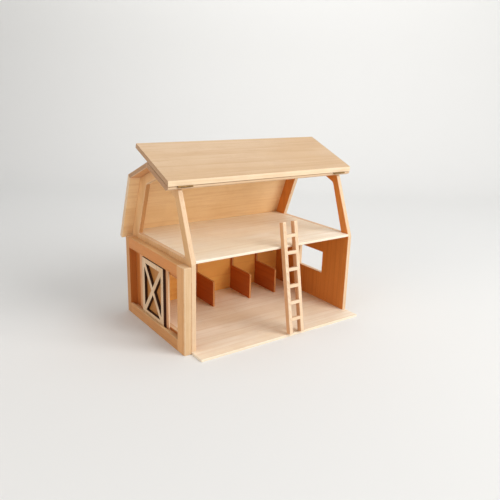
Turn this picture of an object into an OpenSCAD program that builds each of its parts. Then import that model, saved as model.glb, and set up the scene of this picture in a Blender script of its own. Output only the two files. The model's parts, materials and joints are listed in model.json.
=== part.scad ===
// Toy barn with an open front, a gambrel roof and opening doors.
// X runs along the barn, the open front faces -Y, Z is up.
// The middle of the floor board's footprint under the walls is the origin.

/* [Barn walls] */
// Length over both end panels
barn_l = 500; // [440:1:600]
// Depth over the end panels
barn_d = 324; // [300:1:360]
// Thickness of the end panels and the back wall
wall_t = 12; // [9:0.5:15]
// Height of the loft's top above the floor board's underside
loft_z = 228; // [220:1:250]
// Thickness of the loft board
loft_t = 6; // [5:0.5:12]
// Thickness of the floor board
base_t = 6; // [4:0.5:9]
// How far the floor board reaches out in front of the walls
apron = 46; // [44:1:80]

/* [Roof] */
// Height of the roof's lower bend above the floor board's underside
break_z = 378.4; // [370:0.2:400]
// How far in the lower bend lies from the back wall's outside
break_in = 59; // [50:1:66]
// Rise of the upper slopes from the lower bend to the ridge
ridge_rise = 41.3; // [30:0.1:54]
// Thickness of the roof boards
roof_t = 11.6; // [10:0.2:13]
// Overhang of the roof boards at each end
roof_over = 28; // [22:1:36]
// Length of the opening roof board down its slope
flap_l = 182; // [170:1:190]
// How far the lower back board reaches below the loft's top, down its slope
eave_drop = 21; // [10:1:26]

/* [Arched cutouts] */
// Width of the front leg of an end panel at the loft
leg_front_w = 29; // [25:1:38]
// Width of the front leg of an end panel at the lower bend
leg_front_top = 15; // [12:1:22]
// Width of the rear leg of an end panel at the loft
leg_rear_w = 40; // [36:1:50]
// Depth of the band that stays under the roof boards
arch_band = 23; // [18:1:30]
// Radius of the two rounded upper corners
arch_r = 16; // [8:1:22]

/* [Window] */
// Width of the window
window_w = 103; // [80:1:120]
// Height of the window
window_h = 63; // [50:1:72]
// Height of the sill above the floor board's underside
window_sill = 89; // [70:1:110]
// Distance of the window from the panel's front edge
window_front = 97; // [80:1:120]

/* [Door frame] */
// Thickness of the rails and stiles round the door
frame_t = 19.8; // [17:0.2:24]
// Width of the front stile
stile_front_w = 33.4; // [28:0.2:38]
// Width of the rear stile
stile_rear_w = 20; // [16:0.5:26]
// Height of the top rail
rail_top_h = 28.6; // [24:0.2:32]
// Height of the bottom rail, which stands on the ground beside the floor board
rail_bot_h = 29; // [26:0.5:34]
// Height of the frame's top above the floor board's underside
frame_z = 215.4; // [212:0.2:218]
// Depth of the groove in the top rail and of the channel in the bottom rail
groove_h = 7; // [5:0.5:9]
// Clearance of the sliding panel in its grooves
slide_gap = 0.5; // [0.35:0.05:0.8]

/* [Door] */
// Width of the sliding panel
door_w = 163; // [140:1:170]
// Thickness of the sliding panel
door_t = 4; // [3:0.2:5]
// Where the sliding panel's front edge stands, from the wall's front edge
door_at = 108; // [60:0.5:120]
// Width of the crossed frame on the panel
cross_w = 120; // [100:1:136]
// How far the crossed frame lies behind the panel's front edge
cross_front = 12; // [6:0.5:20]
// How far the crossed frame's top stays below the top rail
cross_drop = 8.3; // [2:0.1:12]
// Thickness of the crossed frame
cross_t = 8; // [6:0.5:10]
// Width of the frame's top and two sides
cross_side = 13; // [10:0.5:20]
// Width of the frame's foot, partly down in the channel
cross_foot = 15; // [12:0.5:22]
// Width of the two diagonal bars
cross_bar = 12.5; // [9:0.5:16]
// Width of the doorway cut in the wall
doorway_w = 132; // [110:1:140]
// Height of the doorway's head above the floor board's underside
doorway_top = 166; // [150:1:180]

/* [Stalls] */
// Where the left partition stands, from the barn's middle
stall_left_x = -62; // [-120:1:-40]
// Where the middle partition stands, from the barn's middle
stall_middle_x = 63; // [20:1:90]
// Where the right partition stands, from the barn's middle
stall_right_x = 155; // [120:1:190]
// Depth of a partition from the back wall
stall_d = 104; // [90:1:130]
// Height of a partition
stall_h = 75; // [60:1:90]
// Thickness of a partition
stall_t = 6; // [5:0.5:9]
// Width of the tongue that reaches up to the loft
tongue_w = 8; // [6:0.5:14]

/* [Ladder] */
// Width over both stiles
ladder_w = 46; // [40:1:56]
// Length of a stile
ladder_l = 286; // [270:1:296]
// Width of a stile seen from the front
ladder_side_w = 10; // [8:0.5:12]
// Depth of a stile
ladder_side_d = 15; // [12:0.5:18]
// Height of a rung, which is a flat bar flush with the stiles' front
rung_h = 8; // [6:0.5:10]
// Depth of a rung
rung_depth = 11; // [8:0.5:12]
// Height of the lowest rung along the stile
rung_first = 38; // [30:1:44]
// Distance of the highest rung from the stile's upper end
rung_last = 35.5; // [28:0.5:44]
// Lean from upright in degrees
ladder_lean = 10.2; // [8:0.2:12]
// Where the ladder stands, from the barn's middle
ladder_x = 26; // [-40:1:60]

/* [Hinges] */
// Length of a hinge
hinge_l = 38; // [30:2:60]
// Distance of a hinge's middle from the end panel's outside
hinge_in = 14; // [10:1:60]
// Width of a hinge leaf on the board
leaf_w = 16; // [14:0.5:20]
// Thickness of a hinge leaf
leaf_t = 1; // [0.8:0.1:1.2]
// Diameter of the hinge pin
pin_d = 2.2; // [2:0.1:2.4]
// Radial running clearance on the pin
pin_gap = 0.06; // [0.04:0.01:0.08]
// Outer diameter of the knuckles
knuckle_d = 4.6; // [4.4:0.1:5]
// Diameter of a hinge screw's shank
screw_d = 2; // [1.6:0.1:2.4]

/* [Hidden] */
$fn = 64;
rest_gap = 0.3;
half_l = barn_l/2;
half_d = barn_d/2;
inner_x = half_l - wall_t;
front_y = -half_d;
back_y = half_d;
// upper slope of the roof, as seen from the left end
slope_run = half_d - break_in;
slope_up = atan(ridge_rise/slope_run);
// lower slope on the back
low_run = break_in;
low_up = atan((break_z - loft_z)/low_run);
low_len = sqrt(low_run*low_run + (break_z - loft_z)*(break_z - loft_z));
// unit directions in the Y-Z plane
up_dir = [cos(slope_up), sin(slope_up)];
up_out = [-sin(slope_up), cos(slope_up)];
low_dir = [-cos(low_up), -sin(low_up)];
low_in = [sin(low_up), -cos(low_up)];
front_bend = [front_y + break_in, break_z];
ridge_pt = [0, break_z + ridge_rise];
// the hinge axis lies midway in the fold gap, just in front of the boards
fold_gap = 2*leaf_t + rest_gap;
edge_in = knuckle_d/2 + rest_gap;
axis_pt = front_bend + up_out*(roof_t + fold_gap/2) - up_dir*edge_in;
flap_turn = 180 + low_up - slope_up;
// the front slope of the end panels lies where the shut flap rests
seat_off = fold_gap/2 + roof_t + rest_gap;
seat_top = axis_pt + low_in*seat_off;
door_y = front_y + door_at;
door_x = -half_l - slide_gap;
opening_z0 = rail_bot_h;
opening_z1 = frame_z - rail_top_h;
door_z0 = opening_z0 - groove_h + slide_gap;
door_z1 = opening_z1 + groove_h - slide_gap;
cross_z1 = opening_z1 - cross_drop;
cross_y = door_y + cross_front;
rung_pitch = (ladder_l - rung_first - rung_last)/5;
rung_in = 3;
hinge_xs = [-half_l + hinge_in, half_l - hinge_in];
axle_r = pin_d/2 + pin_gap;
knuckles = 5;
knuckle_gap = 0.35;
knuckle_l = (hinge_l - (knuckles - 1)*knuckle_gap)/knuckles;

wood = [0.85, 0.68, 0.47];
pale = [0.92, 0.79, 0.6];
shade = [0.72, 0.5, 0.3];
steel = [0.6, 0.6, 0.62];

// a board seen from its end: points are [y, z], swept along X
module along_x(points, x0, x1)
    translate([x0, 0, 0]) rotate([90, 0, 90])
        linear_extrude(x1 - x0) polygon(points);

module box(from, to)
    translate(from) cube(to - from);

function unit(v) = v/norm(v);
// where two lines meet, each given by a point and a direction
function meet(p, a, q, b) =
    let (k = ((q[0] - p[0])*b[1] - (q[1] - p[1])*b[0])/(a[0]*b[1] - a[1]*b[0]))
    p + a*k;
function mirror_y(p) = [-p[0], p[1]];

// outline of an end panel: the front slope is set back for the shut flap
slope_front_top = meet(seat_top, low_dir, front_bend, up_dir);
slope_front_foot = meet(seat_top, low_dir, [front_y, 0], [0, 1]);
back_bend = mirror_y(front_bend);
end_outline = [[front_y, base_t], [back_y, base_t], [back_y, loft_z], back_bend,
               ridge_pt, slope_front_top, slope_front_foot];

// arched cutout above the loft
arch_foot_f = [front_y + leg_front_w, loft_z];
arch_foot_r = [back_y - leg_rear_w, loft_z];
arch_side_f = unit(front_bend + [leg_front_top, -arch_band] - arch_foot_f);
arch_side_r = unit(back_bend - [back_y, loft_z]);
arch_ridge = ridge_pt - [0, arch_band/cos(slope_up)];
arch_top_f = meet(arch_foot_f, arch_side_f, arch_ridge, up_dir);
arch_top_r = meet(arch_foot_r, arch_side_r, arch_ridge, mirror_y(up_dir));

function corner_turn(a, b) = acos(a*b)/2;
function corner_mid(c, a, b, r) = c + unit(a + b)*r/sin(corner_turn(a, b));
function corner_near(c, a, b, r) = c + a*r/tan(corner_turn(a, b));

module arch_cut(x0, x1) {
    fa = -arch_side_f;
    fb = up_dir;
    ra = mirror_y(up_dir);
    rb = -arch_side_r;
    mid_f = corner_mid(arch_top_f, fa, fb, arch_r);
    mid_r = corner_mid(arch_top_r, ra, rb, arch_r);
    along_x([arch_foot_f, arch_foot_r,
             corner_near(arch_top_r, rb, ra, arch_r), mid_r,
             corner_near(arch_top_r, ra, rb, arch_r), arch_ridge,
             corner_near(arch_top_f, fb, fa, arch_r), mid_f,
             corner_near(arch_top_f, fa, fb, arch_r)], x0, x1);
    for (m = [mid_f, mid_r])
        translate([x0, m[0], m[1]]) rotate([0, 90, 0]) cylinder(r = arch_r, h = x1 - x0);
}

module end_panel(x0) {
    difference() {
        along_x(end_outline, x0, x0 + wall_t);
        arch_cut(x0 - 1, x0 + wall_t + 1);
    }
}

module left_end_panel() color(wood) difference() {
    end_panel(-half_l);
    box([-half_l - 1, front_y + stile_front_w + 14, opening_z0],
        [-inner_x + 1, front_y + stile_front_w + 14 + doorway_w, doorway_top]);
}

module right_end_panel() color(wood) difference() {
    end_panel(inner_x);
    box([inner_x - 1, front_y + window_front, window_sill],
        [half_l + 1, front_y + window_front + window_w, window_sill + window_h]);
}

module base_board() color(wood)
    box([-half_l, front_y - apron, 0], [half_l, back_y, base_t]);

module back_wall() color(wood)
    box([-inner_x, back_y - wall_t, base_t], [inner_x, back_y, loft_z - loft_t]);

module loft_board() color(pale)
    box([-inner_x, front_y, loft_z - loft_t], [inner_x, back_y, loft_z]);

module partition(x) color(shade) {
    y1 = back_y - wall_t;
    along_x([[y1 - stall_d, base_t], [y1, base_t], [y1, loft_z - loft_t],
             [y1 - tongue_w, loft_z - loft_t], [y1 - tongue_w, base_t + stall_h],
             [y1 - stall_d + 5, base_t + stall_h], [y1 - stall_d, base_t + stall_h - 3]],
            x - stall_t/2, x + stall_t/2);
}
module stall_partition_left() partition(stall_left_x);
module stall_partition_middle() partition(stall_middle_x);
module stall_partition_right() partition(stall_right_x);

roof_x0 = -half_l - roof_over;
roof_x1 = half_l + roof_over;
back_up = mirror_y(up_dir);
back_up_out = mirror_y(up_out);
back_low = unit([back_y, loft_z] - back_bend);
back_low_out = [-back_low[1], back_low[0]];
back_top_bend = meet(back_bend + back_up_out*roof_t, back_up,
                     back_bend + back_low_out*roof_t, back_low);
ridge_top = ridge_pt + [0, roof_t/cos(slope_up)];
eave = [back_y, loft_z] + back_low*eave_drop;

module roof_back_lower() color(wood)
    along_x([back_bend, eave, eave + back_low_out*roof_t, back_top_bend], roof_x0, roof_x1);

module roof_back_upper() color(wood)
    along_x([ridge_pt, back_bend, back_top_bend, ridge_top], roof_x0, roof_x1);

// the front edge is bevelled below so that the flap can hang down in front of it
bevel_pt = axis_pt + low_dir*(edge_in - rest_gap);
bevel_high = meet(bevel_pt, low_in, front_bend, up_out);
bevel_low = meet(bevel_pt, low_in, front_bend, up_dir);
module roof_front_upper() color(wood) difference() {
    along_x([bevel_low, bevel_high, front_bend + up_out*roof_t, ridge_top, ridge_pt],
            roof_x0, roof_x1);
    screw_bodies(-1);
}

// lies folded open on the front upper board; its hinged edge is mitred to half of the roof's bend
flap_under = front_bend + up_out*(roof_t + fold_gap);
mitre = roof_t*tan((low_up - slope_up)/2);
module roof_flap() color(pale) difference() {
    along_x([flap_under, flap_under + up_dir*flap_l,
             flap_under + up_dir*flap_l + up_out*roof_t,
             flap_under + up_dir*mitre + up_out*roof_t],
            roof_x0, roof_x1);
    screw_bodies(1);
}

// door frame on the outside of the left end panel
module groove(w, z0, z1)
    box([-half_l - w - 2*slide_gap, front_y + stile_front_w - 1, z0],
        [-half_l + 1, back_y - stile_rear_w + 1, z1]);

module door_top_rail() color(shade) difference() {
    box([-half_l - frame_t, front_y + stile_front_w, opening_z1],
        [-half_l, back_y - stile_rear_w, frame_z]);
    groove(door_t, opening_z1 - 1, opening_z1 + groove_h);
}
module door_bottom_rail() color(shade) difference() {
    box([-half_l - frame_t, front_y + stile_front_w, 0],
        [-half_l, back_y - stile_rear_w, opening_z0]);
    groove(door_t + cross_t, opening_z0 - groove_h, opening_z0 + 1);
}
module door_front_stile() color(pale)
    box([-half_l - frame_t, front_y, 0], [-half_l, front_y + stile_front_w, frame_z]);
module door_rear_stile() color(shade)
    box([-half_l - frame_t, back_y - stile_rear_w, 0], [-half_l, back_y, frame_z]);

module door_panel() color(wood)
    box([door_x - door_t, door_y, door_z0], [door_x, door_y + door_w, door_z1]);

// one board with four triangular holes, which leave the crossed bars
module door_cross_frame() color(pale) {
    x1 = door_x - door_t;
    w = cross_w - 2*cross_side;
    h = cross_z1 - door_z0 - cross_side - cross_foot;
    c = [cross_y + cross_w/2, (door_z0 + cross_foot + cross_z1 - cross_side)/2];
    d = sqrt(w*w + h*h);
    cut_y = cross_bar/2*d/h;
    cut_z = cross_bar/2*d/w;
    difference() {
        box([x1 - cross_t, cross_y, door_z0], [x1, cross_y + cross_w, cross_z1]);
        for (s = [-1, 1]) {
            along_x([c + [0, s*cut_z], c + [w/2 - cut_y, s*h/2], c + [-w/2 + cut_y, s*h/2]],
                    x1 - cross_t - 1, x1 + 1);
            along_x([c + [s*cut_y, 0], c + [s*w/2, h/2 - cut_z], c + [s*w/2, -h/2 + cut_z]],
                    x1 - cross_t - 1, x1 + 1);
        }
    }
}

// ladder: own frame has Z along the stiles and Y through their depth
module on_ladder()
    translate([ladder_x, front_y - rest_gap - (loft_z - base_t - rest_gap)*tan(ladder_lean),
               base_t + rest_gap])
        rotate([-ladder_lean, 0, 0]) children();

module ladder_stile(x) color(pale) on_ladder() difference() {
    translate([x - ladder_side_w/2, -ladder_side_d, 0])
        cube([ladder_side_w, ladder_side_d, ladder_l]);
    // each rung is let into a notch in the stile's inner side
    inner = x < 0 ? x + ladder_side_w/2 - rung_in : x - ladder_side_w/2 - 1;
    for (i = [0:5])
        translate([inner, -ladder_side_d - 1, rung_first + i*rung_pitch - rung_h/2])
            cube([rung_in + 1, rung_depth + 1, rung_h]);
}
module ladder_left_stile() ladder_stile(-(ladder_w - ladder_side_w)/2);
module ladder_right_stile() ladder_stile((ladder_w - ladder_side_w)/2);
module ladder_rung(i) color(pale) on_ladder() {
    rung_l = ladder_w - 2*ladder_side_w + 2*rung_in;
    translate([-rung_l/2, -ladder_side_d, rung_first + (i - 1)*rung_pitch - rung_h/2])
        cube([rung_l, rung_depth, rung_h]);
}
module ladder_rung_1() ladder_rung(1);
module ladder_rung_2() ladder_rung(2);
module ladder_rung_3() ladder_rung(3);
module ladder_rung_4() ladder_rung(4);
module ladder_rung_5() ladder_rung(5);
module ladder_rung_6() ladder_rung(6);

// hinge: own frame has X along the pin, Y down the upper board, Z out of it
module on_hinge(x)
    translate([x, axis_pt[0], axis_pt[1]]) rotate([slope_up, 0, 0]) children();

module barrel(i, bore_r) difference() {
    translate([-hinge_l/2 + i*(knuckle_l + knuckle_gap), 0, 0]) rotate([0, 90, 0])
        cylinder(d = knuckle_d, h = knuckle_l);
    translate([-hinge_l/2 - 1, 0, 0]) rotate([0, 90, 0]) cylinder(r = bore_r, h = hinge_l + 2);
}

// z0 is the leaf's lower face; own barrels are given by their number
module leaf(z0, own, bore_r) {
    difference() {
        union() {
            translate([-hinge_l/2, edge_in, z0]) cube([hinge_l, leaf_w, leaf_t]);
            for (i = own)
                translate([-hinge_l/2 + i*(knuckle_l + knuckle_gap), 0, z0])
                    cube([knuckle_l, edge_in + 1, leaf_t]);
        }
        translate([-hinge_l/2 - 1, 0, 0]) rotate([0, 90, 0])
            cylinder(r = bore_r, h = hinge_l + 2);
        for (s = [-1, 1])
            translate([s*hinge_l*0.3, edge_in + leaf_w/2, z0 - 1]) cylinder(d = screw_d, h = 4);
    }
    for (i = own) barrel(i, bore_r);
}
// the pin is tight in the fixed leaf and turns in the moving leaf
module fixed_leaf(x) color(steel) on_hinge(x) leaf(-rest_gap/2 - leaf_t, [0, 2, 4], pin_d/2);
module moving_leaf(x) color(steel) on_hinge(x) leaf(rest_gap/2, [1, 3], axle_r);
module hinge_pin(x) color(steel) on_hinge(x)
    translate([-hinge_l/2, 0, 0]) rotate([0, 90, 0]) cylinder(d = pin_d, h = hinge_l);
module hinge_left_fixed_leaf() fixed_leaf(hinge_xs[0]);
module hinge_left_moving_leaf() moving_leaf(hinge_xs[0]);
module hinge_left_pin() hinge_pin(hinge_xs[0]);
module hinge_right_fixed_leaf() fixed_leaf(hinge_xs[1]);
module hinge_right_moving_leaf() moving_leaf(hinge_xs[1]);
module hinge_right_pin() hinge_pin(hinge_xs[1]);

// flush heads in the leaves, shanks in the boards
module screw_bodies(s)
    for (x = hinge_xs, k = [-1, 1])
        on_hinge(x)
            translate([k*hinge_l*0.3, edge_in + leaf_w/2, s*rest_gap/2])
                rotate([s < 0 ? 180 : 0, 0, 0]) cylinder(d = screw_d, h = leaf_t + 7);
module fixed_leaf_screws() color(steel) screw_bodies(-1);
module moving_leaf_screws() color(steel) screw_bodies(1);

base_board();
back_wall();
left_end_panel();
right_end_panel();
loft_board();
stall_partition_left();
stall_partition_middle();
stall_partition_right();
roof_back_lower();
roof_back_upper();
roof_front_upper();
roof_flap();
door_top_rail();
door_bottom_rail();
door_front_stile();
door_rear_stile();
door_panel();
door_cross_frame();
ladder_left_stile();
ladder_right_stile();
ladder_rung_1();
ladder_rung_2();
ladder_rung_3();
ladder_rung_4();
ladder_rung_5();
ladder_rung_6();
hinge_left_fixed_leaf();
hinge_left_moving_leaf();
hinge_left_pin();
hinge_right_fixed_leaf();
hinge_right_moving_leaf();
hinge_right_pin();
fixed_leaf_screws();
moving_leaf_screws();
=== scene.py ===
import json
import math

import bmesh
import bpy
from mathutils import Matrix, Vector

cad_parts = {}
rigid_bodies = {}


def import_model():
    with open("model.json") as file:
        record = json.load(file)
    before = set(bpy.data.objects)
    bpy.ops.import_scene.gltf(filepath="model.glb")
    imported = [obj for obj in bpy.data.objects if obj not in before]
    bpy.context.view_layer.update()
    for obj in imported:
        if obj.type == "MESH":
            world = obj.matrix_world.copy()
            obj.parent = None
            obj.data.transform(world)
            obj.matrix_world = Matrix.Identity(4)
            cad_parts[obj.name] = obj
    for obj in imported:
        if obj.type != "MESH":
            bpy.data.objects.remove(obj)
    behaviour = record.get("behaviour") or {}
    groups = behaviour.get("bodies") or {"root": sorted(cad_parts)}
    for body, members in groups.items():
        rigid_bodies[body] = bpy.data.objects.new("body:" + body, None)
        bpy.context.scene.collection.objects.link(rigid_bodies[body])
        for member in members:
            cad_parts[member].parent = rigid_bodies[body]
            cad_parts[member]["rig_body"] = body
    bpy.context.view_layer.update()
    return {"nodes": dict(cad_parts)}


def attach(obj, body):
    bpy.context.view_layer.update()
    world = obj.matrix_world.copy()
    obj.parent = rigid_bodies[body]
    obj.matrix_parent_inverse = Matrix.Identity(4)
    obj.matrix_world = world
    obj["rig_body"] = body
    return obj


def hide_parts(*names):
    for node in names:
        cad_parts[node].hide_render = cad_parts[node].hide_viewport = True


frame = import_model()
nodes = frame["nodes"]
scene = bpy.context.scene
print("barn frame loaded:", len(nodes), "nodes")


# camera, placed by matching the barn's corners in the photograph

photoCamera = {
    "place": Vector((-0.8203, -1.1827, 0.6113)),
    "turn": 35.56,       # degrees round Z, from +Y towards +X
    "tilt": -16.78,      # degrees above the horizon
    "roll": 1.71,
    "lens": 39.44,       # mm
    "sensor": 36,        # mm wide
    "near": 0.01,
}


def addCamera(look):
    turn, tilt, roll = (math.radians(look[key]) for key in ("turn", "tilt", "roll"))
    forward = Vector((math.sin(turn) * math.cos(tilt), math.cos(turn) * math.cos(tilt), math.sin(tilt)))
    right = Vector((math.cos(turn), -math.sin(turn), 0))
    up = right.cross(forward)
    across = right * math.cos(roll) + up * math.sin(roll)
    upright = up * math.cos(roll) - right * math.sin(roll)
    data = bpy.data.cameras.new("photoCamera")
    data.lens = look["lens"]
    data.sensor_width = look["sensor"]
    data.clip_start = look["near"]
    cam = bpy.data.objects.new("photoCamera", data)
    cam.matrix_world = Matrix((
        (across.x, upright.x, -forward.x, look["place"].x),
        (across.y, upright.y, -forward.y, look["place"].y),
        (across.z, upright.z, -forward.z, look["place"].z),
        (0, 0, 0, 1)))
    scene.collection.objects.link(cam)
    scene.camera = cam


addCamera(photoCamera)


# short ways to add shader nodes

def addMath(tree, kind, a, b=None, clamp=False):
    node = tree.nodes.new("ShaderNodeMath")
    node.operation = kind
    node.use_clamp = clamp
    for i, value in enumerate((a, b)):
        if value is None:
            continue
        if isinstance(value, (int, float)):
            node.inputs[i].default_value = value
        else:
            tree.links.new(value, node.inputs[i])
    return node.outputs[0]


def mixColor(tree, amount, a, b, kind="MIX"):
    node = tree.nodes.new("ShaderNodeMix")
    node.data_type = "RGBA"
    node.blend_type = kind
    tree.links.new(amount, node.inputs[0])
    for i, value in ((6, a), (7, b)):    # the node's two colour sockets
        if hasattr(value, "links"):
            tree.links.new(value, node.inputs[i])
        else:
            node.inputs[i].default_value = value
    return node.outputs[2]


def remap(tree, value, part, result=(0.0, 1.0), smooth=True):
    node = tree.nodes.new("ShaderNodeMapRange")
    node.interpolation_type = "SMOOTHSTEP" if smooth else "LINEAR"
    tree.links.new(value, node.inputs["Value"])
    for key, number in zip(("From Min", "From Max", "To Min", "To Max"), (*part, *result)):
        node.inputs[key].default_value = number
    return node.outputs["Result"]


def stretchVector(tree, vector, alongGrain):
    node = tree.nodes.new("ShaderNodeVectorMath")
    node.operation = "MULTIPLY"
    tree.links.new(vector, node.inputs[0])
    node.inputs[1].default_value = (alongGrain, 1.0, 1.0)
    return node.outputs["Vector"]


def addNoise(tree, vector, look):
    node = tree.nodes.new("ShaderNodeTexNoise")
    if "stretch" in look:
        vector = stretchVector(tree, vector, look["stretch"])
    tree.links.new(vector, node.inputs["Vector"])
    node.inputs["Scale"].default_value = look["scale"]
    node.inputs["Detail"].default_value = look["detail"]
    node.inputs["Roughness"].default_value = look["rough"]
    node.inputs["Distortion"].default_value = look.get("distortion", 0.0)
    return node.outputs["Fac"]


def readMask(tree, name):
    node = tree.nodes.new("ShaderNodeAttribute")
    node.attribute_type = "GEOMETRY"
    node.attribute_name = name
    return node.outputs["Fac"]


def addBump(tree, shader, height, strength, depth):
    node = tree.nodes.new("ShaderNodeBump")
    node.inputs["Strength"].default_value = strength
    node.inputs["Distance"].default_value = depth
    tree.links.new(height, node.inputs["Height"])
    tree.links.new(node.outputs["Normal"], shader.inputs["Normal"])


# shader groups

def newGroup(name, inputs, outputs):
    group = bpy.data.node_groups.new(name, "ShaderNodeTree")
    group.interface.new_socket("Vector", in_out="INPUT", socket_type="NodeSocketVector")
    for way, labels in (("INPUT", inputs), ("OUTPUT", outputs)):
        for label in labels:
            group.interface.new_socket(label, in_out=way, socket_type="NodeSocketFloat")
    return group, group.nodes.new("NodeGroupInput"), group.nodes.new("NodeGroupOutput")


grainShape = {
    "ringStretch": 0.22,     # how slowly the rings change along the board
    "ringDetail": 2.0,
    "ringDetailScale": 0.25,
    "ringRough": 0.55,
    "fibre": {"stretch": 0.035, "scale": 900.0, "detail": 4.0, "rough": 0.6},
    "pores": {"stretch": 0.08, "scale": 1500.0, "detail": 1.0, "rough": 0.5},
    "poresPart": (0.62, 0.74),
    "tone": {"stretch": 0.3, "scale": 14.0, "detail": 2.0, "rough": 0.5},
    "streaks": {"stretch": 0.03, "scale": 150.0, "detail": 3.0, "rough": 0.62},
}


# growth rings run round the group's X axis, which lies along the board's grain
def makeGrainGroup(look):
    group, start, end = newGroup("boardGrain", ("Ring Scale", "Wobble"),
                                 ("Rings", "Fibre", "Pores", "Tone", "Streaks"))
    vector = start.outputs["Vector"]
    wave = group.nodes.new("ShaderNodeTexWave")
    wave.wave_type = "RINGS"
    wave.rings_direction = "X"
    wave.wave_profile = "SAW"
    group.links.new(stretchVector(group, vector, look["ringStretch"]), wave.inputs["Vector"])
    group.links.new(start.outputs["Ring Scale"], wave.inputs["Scale"])
    group.links.new(start.outputs["Wobble"], wave.inputs["Distortion"])
    wave.inputs["Detail"].default_value = look["ringDetail"]
    wave.inputs["Detail Scale"].default_value = look["ringDetailScale"]
    wave.inputs["Detail Roughness"].default_value = look["ringRough"]
    pores = remap(group, addNoise(group, vector, look["pores"]), look["poresPart"])
    group.links.new(wave.outputs["Fac"], end.inputs["Rings"])
    group.links.new(addNoise(group, vector, look["fibre"]), end.inputs["Fibre"])
    group.links.new(pores, end.inputs["Pores"])
    group.links.new(addNoise(group, vector, look["tone"]), end.inputs["Tone"])
    group.links.new(addNoise(group, vector, look["streaks"]), end.inputs["Streaks"])
    return group


handlingShape = {
    "smudge": {"scale": 22.0, "detail": 4.0, "rough": 0.6, "distortion": 0.4},
    "smudgePart": (0.42, 0.72),
    "speck": {"scale": 650.0, "detail": 1.0, "rough": 0.5},
    "speckPart": (0.70, 0.80),
    "drift": {"stretch": 0.35, "scale": 9.0, "detail": 3.0, "rough": 0.6},
}


# soft smudges and fine specks from handling, and a slow drift along the piece
def makeHandlingGroup(look):
    group, start, end = newGroup("handlingMarks", (), ("Smudge", "Speck", "Drift"))
    vector = start.outputs["Vector"]
    smudge = remap(group, addNoise(group, vector, look["smudge"]), look["smudgePart"])
    speck = remap(group, addNoise(group, vector, look["speck"]), look["speckPart"])
    group.links.new(smudge, end.inputs["Smudge"])
    group.links.new(speck, end.inputs["Speck"])
    group.links.new(addNoise(group, vector, look["drift"]), end.inputs["Drift"])
    return group


rimShape = {
    "patches": {"scale": 60.0, "detail": 3.0, "rough": 0.6},
    "patchesPart": (0.35, 0.6),
    "amount": (0.35, 1.0),
}


# the rim attribute is 1 on rounded edges and 0 on faces, and patches of it are rubbed more
def makeRimGroup(look):
    group, start, end = newGroup("rimMask", (), ("Rim",))
    patches = addNoise(group, start.outputs["Vector"], look["patches"])
    rubbed = addMath(group, "MULTIPLY", readMask(group, "rim"),
                     remap(group, patches, look["patchesPart"], look["amount"]))
    group.links.new(rubbed, end.inputs["Rim"])
    return group


grainGroup = makeGrainGroup(grainShape)
handlingGroup = makeHandlingGroup(handlingShape)
rimGroup = makeRimGroup(rimShape)
print("shader groups ready")


# materials

def newMaterial(name):
    material = bpy.data.materials.new(name)
    material.use_nodes = True
    return material, material.node_tree.nodes["Principled BSDF"]


def objectPlace(tree):
    return tree.nodes.new("ShaderNodeTexCoord").outputs["Object"]


# the piece's own coordinates, turned by degrees and then shifted by metres
def patternVector(tree, turn, shift):
    mapping = tree.nodes.new("ShaderNodeMapping")
    tree.links.new(objectPlace(tree), mapping.inputs["Vector"])
    mapping.inputs["Rotation"].default_value = [math.radians(a) for a in turn]
    mapping.inputs["Location"].default_value = shift
    return mapping.outputs["Vector"]


def placeGroup(tree, group, vector, values=()):
    node = tree.nodes.new("ShaderNodeGroup")
    node.node_tree = group
    tree.links.new(vector, node.inputs["Vector"])
    for label, value in values:
        node.inputs[label].default_value = value
    return node.outputs


# a colour written as 0 to 255, in the linear values that a shader takes
def linear(rgb):
    return [(c / 255 / 12.92 if c <= 10 else ((c / 255 + 0.055) / 1.055) ** 2.4) for c in rgb] + [1.0]


def shadeWhere(tree, mask, color, shade):
    return mixColor(tree, mask, color, linear([255 * c for c in shade]), "MULTIPLY")


barnWood = {
    "early": (232, 202, 168),    # pale wood between the rings
    "late": (212, 172, 130),     # darker ring lines
    "warm": (224, 188, 146),     # broad warmer areas
    "pore": (180, 134, 92),
    "rubbed": (242, 216, 184),   # rounded edges, sanded lighter
    "rubbedAmount": 0.55,        # where the board gives none of its own
    "smudge": (208, 170, 130),
    "wobble": 4.2,
    "apart": 0.37,               # m from one board's piece of the log to the next one's
    "ringPart": (0.45, 0.98),
    "ringAmount": 0.62,
    "driftPart": (0.38, 0.62),
    "driftAmount": (0.3, 1.15),  # the rings fade and return along a board
    "tonePart": (0.35, 0.7),
    "toneAmount": 0.6,
    "streakPart": (0.47, 0.68),
    "streakAmount": 0.26,
    "streakContrast": 0.34,      # added to streakAmount at full contrast
    "fibrePart": (0.5, 0.75),
    "fibreAmount": 0.35,
    "poreAmount": 0.4,
    "smudgeAmount": 0.22,
    "scorchPart": (0.35, 0.7),
    "scorchSpeck": 0.1,
    "bandSoftness": 0.002,       # m on either side of the painted shade band's edge
    "roughness": 0.44,
    "fibreRoughness": 0.16,
    "smudgeGloss": 0.08,
    "specular": 0.35,
    "bumpFibre": 0.6,
    "bumpRings": 0.25,
    "bumpPores": 0.6,
    "bumpStrength": 0.25,
    "bumpDepth": 0.0004,
}

grainTurns = {"X": (0, 0, 0), "Y": (0, 0, -90), "Z": (0, 90, 0)}   # degrees that turn the grain onto X
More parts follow.
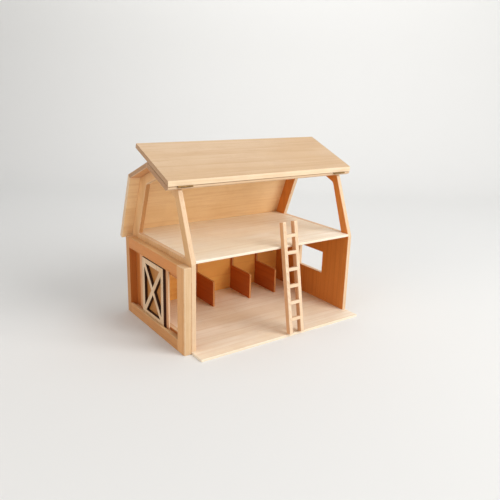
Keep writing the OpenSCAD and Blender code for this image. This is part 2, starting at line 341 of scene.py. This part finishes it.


# side is painted shade on a board's broad faces (painted light on roof_back_lower's inner face), ends
# shades its end grain, the inner cut colour is painted shade on the cut edges that face inwards, and
# the band is painted shade on one stretch of its broad faces
def makeWood(name, board):
    material, shader = newMaterial(name)
    tree = material.node_tree
    wood = barnWood
    # the whole-board tint is painted light and shade: boards in strong light are made paler, boards in
    # shade darker and more orange
    paintedLightShadeTint = board.get("paintedLightShadeTint", (1, 1, 1))
    contrast = board.get("contrast", 1.0)
    alongLog, *acrossLog = board["heart"]
    shift = (alongLog + board["seed"] * wood["apart"], *acrossLog)
    vector = patternVector(tree, grainTurns[board.get("grain", "X")], shift)
    grain = placeGroup(tree, grainGroup, vector,
                       (("Ring Scale", board["rings"]), ("Wobble", wood["wobble"])))
    marks = placeGroup(tree, handlingGroup, vector)
    rim = placeGroup(tree, rimGroup, vector)

    def tinted(key):
        return linear([min(255, c * t) for c, t in zip(wood[key], paintedLightShadeTint)])

    rings = addMath(tree, "MULTIPLY",
                    remap(tree, grain["Rings"], wood["ringPart"], (0.0, wood["ringAmount"] * contrast)),
                    remap(tree, marks["Drift"], wood["driftPart"], wood["driftAmount"]))
    tone = remap(tree, grain["Tone"], wood["tonePart"], (0.0, wood["toneAmount"]))
    streaks = remap(tree, grain["Streaks"], wood["streakPart"],
                    (0.0, wood["streakAmount"] + wood["streakContrast"] * contrast))
    fibre = remap(tree, grain["Fibre"], wood["fibrePart"], (0.0, wood["fibreAmount"] * contrast))
    pores = addMath(tree, "MULTIPLY", grain["Pores"], wood["poreAmount"] * contrast)
    smudge = addMath(tree, "MULTIPLY", marks["Smudge"], wood["smudgeAmount"])
    color = mixColor(tree, rings, tinted("early"), tinted("late"))
    layers = ((tone, "warm"), (streaks, "late"), (fibre, "late"), (pores, "pore"), (smudge, "smudge"))
    for mask, key in layers:
        color = mixColor(tree, mask, color, tinted(key))

    # side is painted shade on the broad faces that shaded picks (painted light on roof_back_lower's
    # inner face), the inner cut colour is painted shade too, and ends is the end grain's own darker
    # colour
    for mask, key in (("broadFace", "side"), ("endGrain", "ends"), ("innerCutShade", "innerCutShade")):
        if key in board:
            color = shadeWhere(tree, readMask(tree, mask), color, board[key])
    # painted shade over one stretch of the broad faces, such as the recess behind the door and the door
    # panel behind its cross frame
    if "paintedShadeBand" in board:
        band = board["paintedShadeBand"]
        split = tree.nodes.new("ShaderNodeSeparateXYZ")
        tree.links.new(objectPlace(tree), split.inputs[0])
        away = addMath(tree, "SUBTRACT", split.outputs[band["axis"]], band["middle"])
        away = addMath(tree, "ABSOLUTE", away)
        soft = wood["bandSoftness"]
        inside = remap(tree, away, (band["reach"] - soft, band["reach"] + soft), (1.0, 0.0))
        inside = addMath(tree, "MULTIPLY", inside, readMask(tree, "broadFace"))
        color = shadeWhere(tree, inside, color, band["shade"])
    rubbed = addMath(tree, "MULTIPLY", rim["Rim"], board.get("rubbed", wood["rubbedAmount"]))
    color = mixColor(tree, rubbed, color, tinted("rubbed"))
    if "cutEdge" in board:
        specks = addMath(tree, "MULTIPLY", marks["Speck"], wood["scorchSpeck"])
        scorched = addMath(tree, "ADD", readMask(tree, "cutEdge"), specks, clamp=True)
        burnt = mixColor(tree, remap(tree, grain["Fibre"], wood["scorchPart"]),
                         linear(board["cutEdge"]["deep"]), linear(board["cutEdge"]["brown"]))
        color = mixColor(tree, scorched, color, burnt)
    tree.links.new(color, shader.inputs["Base Color"])

    rough = addMath(tree, "MULTIPLY", grain["Fibre"], wood["fibreRoughness"])
    rough = addMath(tree, "ADD", rough, wood["roughness"])
    gloss = addMath(tree, "MULTIPLY", marks["Smudge"], wood["smudgeGloss"])
    tree.links.new(addMath(tree, "SUBTRACT", rough, gloss), shader.inputs["Roughness"])
    shader.inputs["Specular IOR Level"].default_value = wood["specular"]
    ridges = addMath(tree, "ADD", addMath(tree, "MULTIPLY", grain["Fibre"], wood["bumpFibre"]),
                     addMath(tree, "MULTIPLY", grain["Rings"], wood["bumpRings"]))
    pits = addMath(tree, "MULTIPLY", grain["Pores"], wood["bumpPores"])
    height = addMath(tree, "SUBTRACT", ridges, pits)
    addBump(tree, shader, height, wood["bumpStrength"], wood["bumpDepth"])
    return material


hingeMetal = {
    "brass": (134, 104, 64),
    "dull": (86, 62, 38),
    "dullAmount": 0.6,
    "rubbed": (172, 138, 92),
    "rubbedAmount": 0.35,
    "brushed": {"stretch": 0.05, "scale": 2400.0, "detail": 2.0, "rough": 0.55},
    "brushedPart": (0.3, 0.7),
    "roughness": (0.36, 0.54),
    "bumpStrength": 0.15,
    "bumpDepth": 0.0001,
    "apart": 0.1,            # m between two pieces' patterns, for each letter of the name
}


def makeHingeMetal(name, shift):
    material, shader = newMaterial(name)
    tree = material.node_tree
    metal = hingeMetal
    vector = patternVector(tree, (0, 0, 0), (shift, 0, 0))
    brushed = addNoise(tree, vector, metal["brushed"])
    marks = placeGroup(tree, handlingGroup, vector)
    rim = placeGroup(tree, rimGroup, vector)
    dull = addMath(tree, "MULTIPLY", marks["Smudge"], metal["dullAmount"])
    color = mixColor(tree, dull, linear(metal["brass"]), linear(metal["dull"]))
    rubbed = addMath(tree, "MULTIPLY", rim["Rim"], metal["rubbedAmount"])
    color = mixColor(tree, rubbed, color, linear(metal["rubbed"]))
    tree.links.new(color, shader.inputs["Base Color"])
    shader.inputs["Metallic"].default_value = 1.0
    roughness = remap(tree, brushed, metal["brushedPart"], metal["roughness"])
    tree.links.new(roughness, shader.inputs["Roughness"])
    addBump(tree, shader, brushed, metal["bumpStrength"], metal["bumpDepth"])
    return material


# boards: each takes its node's exact shape and gets sanded, rounded edges

roofEnds = (0.80, 0.72, 0.66)

# round is how far the rounding of the edges reaches in mm, and worn gives one outer edge more;
# heart shifts the pattern off the log's middle in m, once the grain lies along X;
# shaded says which broad faces side goes on: inner, outer, or both where it isn't given; side is
# painted shade, and painted light on roof_back_lower
# a board's tint is painted light where it makes the board paler and painted shade where it makes it
# darker
boardLooks = {
    # base_board and loft_board: the tint is painted light, paler than the wood
    "base_board": {
        "seed": 1, "slot": "wall_wood", "round": 0.8,
        "rings": 42, "heart": (0, 0.05, 0.30), "contrast": 0.5, "paintedLightShadeTint": (1.08, 1.17, 1.29)},
    # back_wall: the tint is painted light and side is painted shade, more orange, on its inner face
    "back_wall": {
        "seed": 2, "slot": "wall_wood", "round": 0.8,
        "rings": 40, "heart": (0, -0.42, -0.1), "contrast": 0.6, "paintedLightShadeTint": (1.08, 1.05, 1.0),
        "shaded": "inner", "side": (1.05, 0.92, 0.62)},
    # left_end_panel: side is painted shade on both faces, the inner cut colour is painted shade on the
    # arch's inner edges, and the band is painted shade over the lower part of the panel, where the
    # recess behind the door is
    "left_end_panel": {
        "seed": 3, "slot": "wall_wood", "round": 1.2, "grain": "Z",
        "rings": 42, "heart": (0, 0.02, 0.55), "rubbed": 0.25,
        "side": (0.98, 0.91, 0.80), "innerCutShade": (0.90, 0.76, 0.60),
        "paintedShadeBand": {"axis": "Z", "middle": 0.0, "reach": 0.178, "shade": (0.88, 0.68, 0.48)}},
    # right_end_panel: side is painted shade, deep orange, on its inner face
    "right_end_panel": {
        "seed": 4, "slot": "wall_wood", "round": 1.2, "grain": "Z",
        "rings": 42, "heart": (0, 0.02, -0.1), "rubbed": 0.2,
        "shaded": "inner", "side": (0.95, 0.68, 0.38)},
    "loft_board": {
        "seed": 5, "slot": "wall_wood", "round": 0.9,
        "rings": 40, "heart": (0, 0.05, -0.55), "contrast": 0.5, "paintedLightShadeTint": (1.08, 1.20, 1.34)},
    # roof_back_lower: side is painted light on its inner face; roof_back_upper: side is painted shade
    # on its underside
    "roof_back_lower": {
        "seed": 9, "slot": "roof_wood", "round": 1.2,
        "rings": 38, "heart": (0, -0.5, -0.3), "contrast": 0.5,
        "shaded": "inner", "side": (1.10, 1.09, 1.02)},
    "roof_back_upper": {
        "seed": 10, "slot": "roof_wood", "round": 1.2,
        "rings": 38, "heart": (0, 0.05, -0.75), "contrast": 0.6,
        "shaded": "inner", "side": (0.96, 0.84, 0.72), "ends": roofEnds},
    "roof_front_upper": {
        "seed": 11, "slot": "roof_wood", "round": 1.2,
        "rings": 38, "heart": (0, 0.05, -0.75), "contrast": 0.6, "ends": roofEnds},
    # roof_flap: the tint is painted light, and side is painted shade on its broad faces, so the painted
    # light stays strongest on its edges
    "roof_flap": {
        "seed": 12, "slot": "roof_wood", "round": 1.4,
        "rings": 38, "heart": (0, 0.12, -0.85), "contrast": 0.7, "paintedLightShadeTint": (1.04, 1.08, 1.12),
        "side": (0.87, 0.83, 0.79), "ends": roofEnds},
    # door frame: the tints and side are painted shade on the outer faces of the rails and stiles
    "door_top_rail": {
        "seed": 13, "slot": "wall_wood", "round": 1.0, "grain": "Y",
        "rings": 60, "heart": (0, 0.3, -0.25), "paintedLightShadeTint": (0.97, 0.90, 0.78), "rubbed": 0.1,
        "shaded": "outer", "side": (0.97, 0.80, 0.62), "worn": {"edge": "top", "width": 2.5}},
    "door_bottom_rail": {
        "seed": 14, "slot": "wall_wood", "round": 1.0, "grain": "Y",
        "rings": 60, "heart": (0, 0.3, 0.05), "paintedLightShadeTint": (0.97, 0.92, 0.82), "rubbed": 0.1,
        "shaded": "outer", "side": (0.94, 0.82, 0.70)},
    "door_front_stile": {
        "seed": 15, "slot": "wall_wood", "round": 1.2, "grain": "Z",
        "rings": 60, "heart": (0, 0.2, 0.3), "paintedLightShadeTint": (0.98, 0.97, 0.94), "rubbed": 0.3,
        "shaded": "outer", "side": (1.0, 0.88, 0.74), "worn": {"edge": "front", "width": 3.5}},
    # door_rear_stile: side is painted shade on its outer face, and the inner cut colour is painted
    # shade on its face inside the recess
    "door_rear_stile": {
        "seed": 16, "slot": "wall_wood", "round": 1.0, "grain": "Z",
        "rings": 60, "heart": (0, -0.1, 0.3), "rubbed": 0.1,
        "shaded": "outer", "side": (0.90, 0.76, 0.60), "innerCutShade": (0.90, 0.64, 0.38)},
    # door_panel: side is painted shade, and the band is painted shade, darker still, on the stretch
    # behind the cross frame
    "door_panel": {
        "seed": 17, "slot": "door_wood", "round": 0.5, "grain": "Z",
        "rings": 70, "heart": (0, 0.03, 0.33), "side": (1.0, 0.87, 0.78),
        "paintedShadeBand": {"axis": "Y", "middle": 0.018, "reach": 0.058, "shade": (0.84, 0.76, 0.56)}},
    "door_cross_frame": {
        "seed": 18, "slot": "door_wood", "round": 0.35, "grain": "Z",
        "rings": 60, "heart": (0, 0.02, 0.34),
        "cutEdge": {"deep": (36, 12, 3), "brown": (72, 34, 14)}},
}
# stall partitions: the tint and side are painted shade, dark orange for the shade inside the stalls
for seed, name in ((6, "left"), (7, "middle"), (8, "right")):
    boardLooks[f"stall_partition_{name}"] = {
        "seed": seed, "slot": "wall_wood", "round": 0.8, "grain": "Y",
        "rings": 45, "heart": (0, 0.3, 0.0), "paintedLightShadeTint": (0.93, 0.74, 0.54), "rubbed": 0.15,
        "side": (0.92, 0.69, 0.46)}
# ladder: the tint is painted light on the stiles and rungs, and side is painted shade on the stiles'
# side faces
for seed, name in ((19, "left"), (20, "right")):
    boardLooks[f"ladder_{name}_stile"] = {
        "seed": seed, "slot": "ladder_wood", "round": 1.4, "grain": "Z",
        "rings": 90, "heart": (0, 0.24, 0.0), "paintedLightShadeTint": (1.03, 1.05, 1.08), "side": (0.96, 0.85, 0.76)}
for number in range(1, 7):
    boardLooks[f"ladder_rung_{number}"] = {
        "seed": 20 + number, "slot": "ladder_wood", "round": 0.5,
        "rings": 120, "heart": (0, 0.2, -0.1), "paintedLightShadeTint": (1.03, 1.06, 1.10)}

sanding = {
    "join": 1e-6,            # m, corners nearer than this become one
    "flat": 0.6,             # degrees, faces that turn less than this become one
    "sharp": 20,             # degrees, edges that turn more than this are rounded
    "segments": 3,
    "fineSegments": 2,       # for edges finer than fineWidth
    "fineWidth": 0.0006,     # m
    "wornSegments": 6,
    "wornWithin": 1e-5,      # m from the corner that is worn
    "middle": Vector((0, 0, 0.2)),   # of the barn, to tell inner faces from outer ones
    "square": 0.9,           # a face's normal has more than this along the axis that it lies square to
    "cutAcross": 0.1,        # a cut edge's normal has less than this across the board
    "cutAlong": 0.7,         # and less than this along the grain
}


def mergedCopy(node):
    bm = bmesh.new()
    bm.from_mesh(nodes[node].data)
    bmesh.ops.remove_doubles(bm, verts=bm.verts, dist=sanding["join"])
    flat = math.radians(sanding["flat"])
    bmesh.ops.dissolve_limit(bm, angle_limit=flat, verts=bm.verts, edges=bm.edges)
    return bm


def sharpEdges(bm, degrees):
    return [e for e in bm.edges if e.is_manifold and e.calc_face_angle(0.0) > math.radians(degrees)]


def roundEdges(bm, edges, width, segments):
    layer = bm.faces.layers.float.get("rim") or bm.faces.layers.float.new("rim")
    done = bmesh.ops.bevel(bm, geom=edges, offset=width, offset_type="OFFSET", segments=segments,
                           profile=0.5, affect="EDGES", clamp_overlap=True, material=-1)
    for face in done["faces"]:
        face[layer] = 1.0
        face.smooth = True


# turns a bmesh into the piece that stands for its nodes
def finishPiece(bm, name, material, body, replaced):
    mesh = bpy.data.meshes.new(name)
    bm.normal_update()
    bm.to_mesh(mesh)
    bm.free()
    piece = bpy.data.objects.new(name, mesh)
    scene.collection.objects.link(piece)
    mesh.materials.append(material)
    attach(piece, body)
    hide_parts(*replaced)


def bodyOf(node):
    return nodes[node]["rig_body"]


def markFaces(bm, node, board):
    size = nodes[node].dimensions
    thin = min(range(3), key=lambda axis: size[axis])
    along = "XYZ".index(board.get("grain", "X"))
    where = board.get("shaded", "both")
    square = sanding["square"]
    layers = bm.faces.layers.float
    broad, ends, cut = (layers.new(name) for name in ("broadFace", "endGrain", "innerCutShade"))
    scorched = layers.new("cutEdge") if "cutEdge" in board else None
    for face in bm.faces:
        across, lengthwise = abs(face.normal[thin]), abs(face.normal[along])
        inward = face.normal.dot(sanding["middle"] - face.calc_center_median()) > 0
        shaded = {"both": True, "inner": inward, "outer": not inward}[where]
        # broad faces take side's painted shade and the band's painted shade
        face[broad] = float(shaded and across > square)
        face[ends] = float(lengthwise > square)
        # cut edges that face inwards take painted shade
        face[cut] = float(inward and across < sanding["cutAcross"] and lengthwise < sanding["cutAlong"])
        if scorched:
            face[scorched] = float(abs(face.normal.x) <= square)


# rounds the board's outer top or outer front edge more than the others
def wearEdge(bm, worn):
    near = sanding["wornWithin"]
    low = min(v.co.x for v in bm.verts)
    if worn["edge"] == "front":
        axis, far = 1, min(v.co.y for v in bm.verts)
    else:
        axis, far = 2, max(v.co.z for v in bm.verts)
    corner = [e for e in bm.edges
              if all(abs(v.co.x - low) < near and abs(v.co[axis] - far) < near for v in e.verts)]
    roundEdges(bm, corner, worn["width"] / 1000, sanding["wornSegments"])


def addBoard(node, board):
    bm = mergedCopy(node)
    markFaces(bm, node, board)
    if "worn" in board:
        wearEdge(bm, board["worn"])
    width = board["round"] / 1000
    segments = sanding["fineSegments"] if width < sanding["fineWidth"] else sanding["segments"]
    roundEdges(bm, sharpEdges(bm, sanding["sharp"]), width, segments)
    material = makeWood("wood_" + node, board)
    finishPiece(bm, node + "_board", material, bodyOf(node), [node])


for node, board in boardLooks.items():
    addBoard(node, board)
print("boards rounded and finished")


# hinges and screws keep their exact shapes, with broken edges and their own metal

hinge = {"edge": 0.00012, "sharp": 40, "segments": 2, "slot": "hinge_steel"}


def addHingePart(node, look):
    bm = mergedCopy(node)
    roundEdges(bm, sharpEdges(bm, look["sharp"]), look["edge"], look["segments"])
    material = makeHingeMetal("metal_" + node, len(node) * hingeMetal["apart"])
    finishPiece(bm, node + "_metal", material, bodyOf(node), [node])


for node in sorted(nodes):
    if node.startswith("hinge_") or node.endswith("_screws"):
        addHingePart(node, hinge)
print("hinges finished")


# floor, backdrop and light

studio = {
    "paper": (231, 231, 230),
    "paperRoughness": 0.9,
    "paperSpecular": 0.1,
    "near": 3.0,             # m of paper on the camera's side of the barn
    "far": 1.7,              # m from the barn to where the paper starts to climb
    "climb": 0.9,            # m, radius of the paper's curve
    "steps": 16,
    "top": 2.6,
    "reach": 4.0,            # m to either side
    "airColor": (250, 250, 250),
    "air": 0.36,             # strength of the soft light from all round
    "seen": 0.84,            # how pale the space past the paper looks
}


# one sheet of paper: flat under the barn, curving up to a wall behind it
def addPaper(look):
    turn = math.radians(photoCamera["turn"])
    away = Vector((math.sin(turn), math.cos(turn), 0))
    side = Vector((math.cos(turn), -math.sin(turn), 0))
    far, climb = look["far"], look["climb"]
    line = [(-look["near"], 0.0), (far, 0.0)]
    for step in range(1, look["steps"] + 1):
        angle = math.pi / 2 * step / look["steps"]
        line.append((far + climb * math.sin(angle), climb * (1 - math.cos(angle))))
    line.append((far + climb, look["top"]))
    bm = bmesh.new()
    rows = []
    for along, up in line:
        middle = away * along + Vector((0, 0, up))
        rows.append([bm.verts.new(middle + side * reach) for reach in (-look["reach"], look["reach"])])
    for low, high in zip(rows, rows[1:]):
        face = bm.faces.new((low[0], low[1], high[1], high[0]))
        face.smooth = True
    bm.normal_update()
    mesh = bpy.data.meshes.new("studioPaper")
    bm.to_mesh(mesh)
    bm.free()
    paper = bpy.data.objects.new("studioPaper", mesh)
    scene.collection.objects.link(paper)
    material, shader = newMaterial("paperSheet")
    shader.inputs["Base Color"].default_value = linear(look["paper"])
    shader.inputs["Roughness"].default_value = look["paperRoughness"]
    shader.inputs["Specular IOR Level"].default_value = look["paperSpecular"]
    mesh.materials.append(material)


def addAir(look):
    world = bpy.data.worlds.new("studioAir")
    scene.world = world
    world.use_nodes = True
    tree = world.node_tree
    air = tree.nodes["Background"]
    air.inputs["Color"].default_value = linear(look["airColor"])
    path = tree.nodes.new("ShaderNodeLightPath")
    seen = addMath(tree, "MAXIMUM", path.outputs["Is Camera Ray"], path.outputs["Is Glossy Ray"])
    seen = addMath(tree, "MAXIMUM", seen, path.outputs["Is Transmission Ray"])
    strength = remap(tree, seen, (0.0, 1.0), (look["air"], look["seen"]), smooth=False)
    tree.links.new(strength, air.inputs["Strength"])


lamps = {
    "keySoftbox": {
        "place": (1.7, -3.15, 2.25), "target": (0.0, 0.0, 0.2), "size": (2.4, 2.9),
        "power": 136.0, "color": (1.0, 0.99, 0.97)},
    "topSoftbox": {
        "place": (0.1, -0.1, 2.3), "target": (0.0, 0.0, 0.2), "size": (1.8, 1.8),
        "power": 12.0, "color": (1.0, 1.0, 1.0)},
    "leftSoftbox": {
        "place": (-3.0, -0.5, 1.2), "target": (0.0, 0.0, 0.2), "size": (2.0, 2.0),
        "power": 27.0, "color": (1.0, 0.94, 0.86)},
    "paperSoftbox": {
        "place": (0.9, 1.3, 2.3), "target": (2.1, 3.0, 0.7), "size": (2.6, 0.8),
        "power": 11.0, "color": (1.0, 1.0, 1.0)},
}


def addLamp(name, look):
    data = bpy.data.lights.new(name, "AREA")
    data.shape = "RECTANGLE"
    data.size, data.size_y = look["size"]
    data.energy = look["power"]
    data.color = look["color"]
    lamp = bpy.data.objects.new(name, data)
    lamp.location = look["place"]
    lamp.rotation_mode = "QUATERNION"
    lamp.rotation_quaternion = (Vector(look["target"]) - Vector(look["place"])).to_track_quat("-Z", "Y")
    scene.collection.objects.link(lamp)


addPaper(studio)
addAir(studio)
for name, look in lamps.items():
    addLamp(name, look)
scene.view_settings.view_transform = "Standard"
print("studio set")
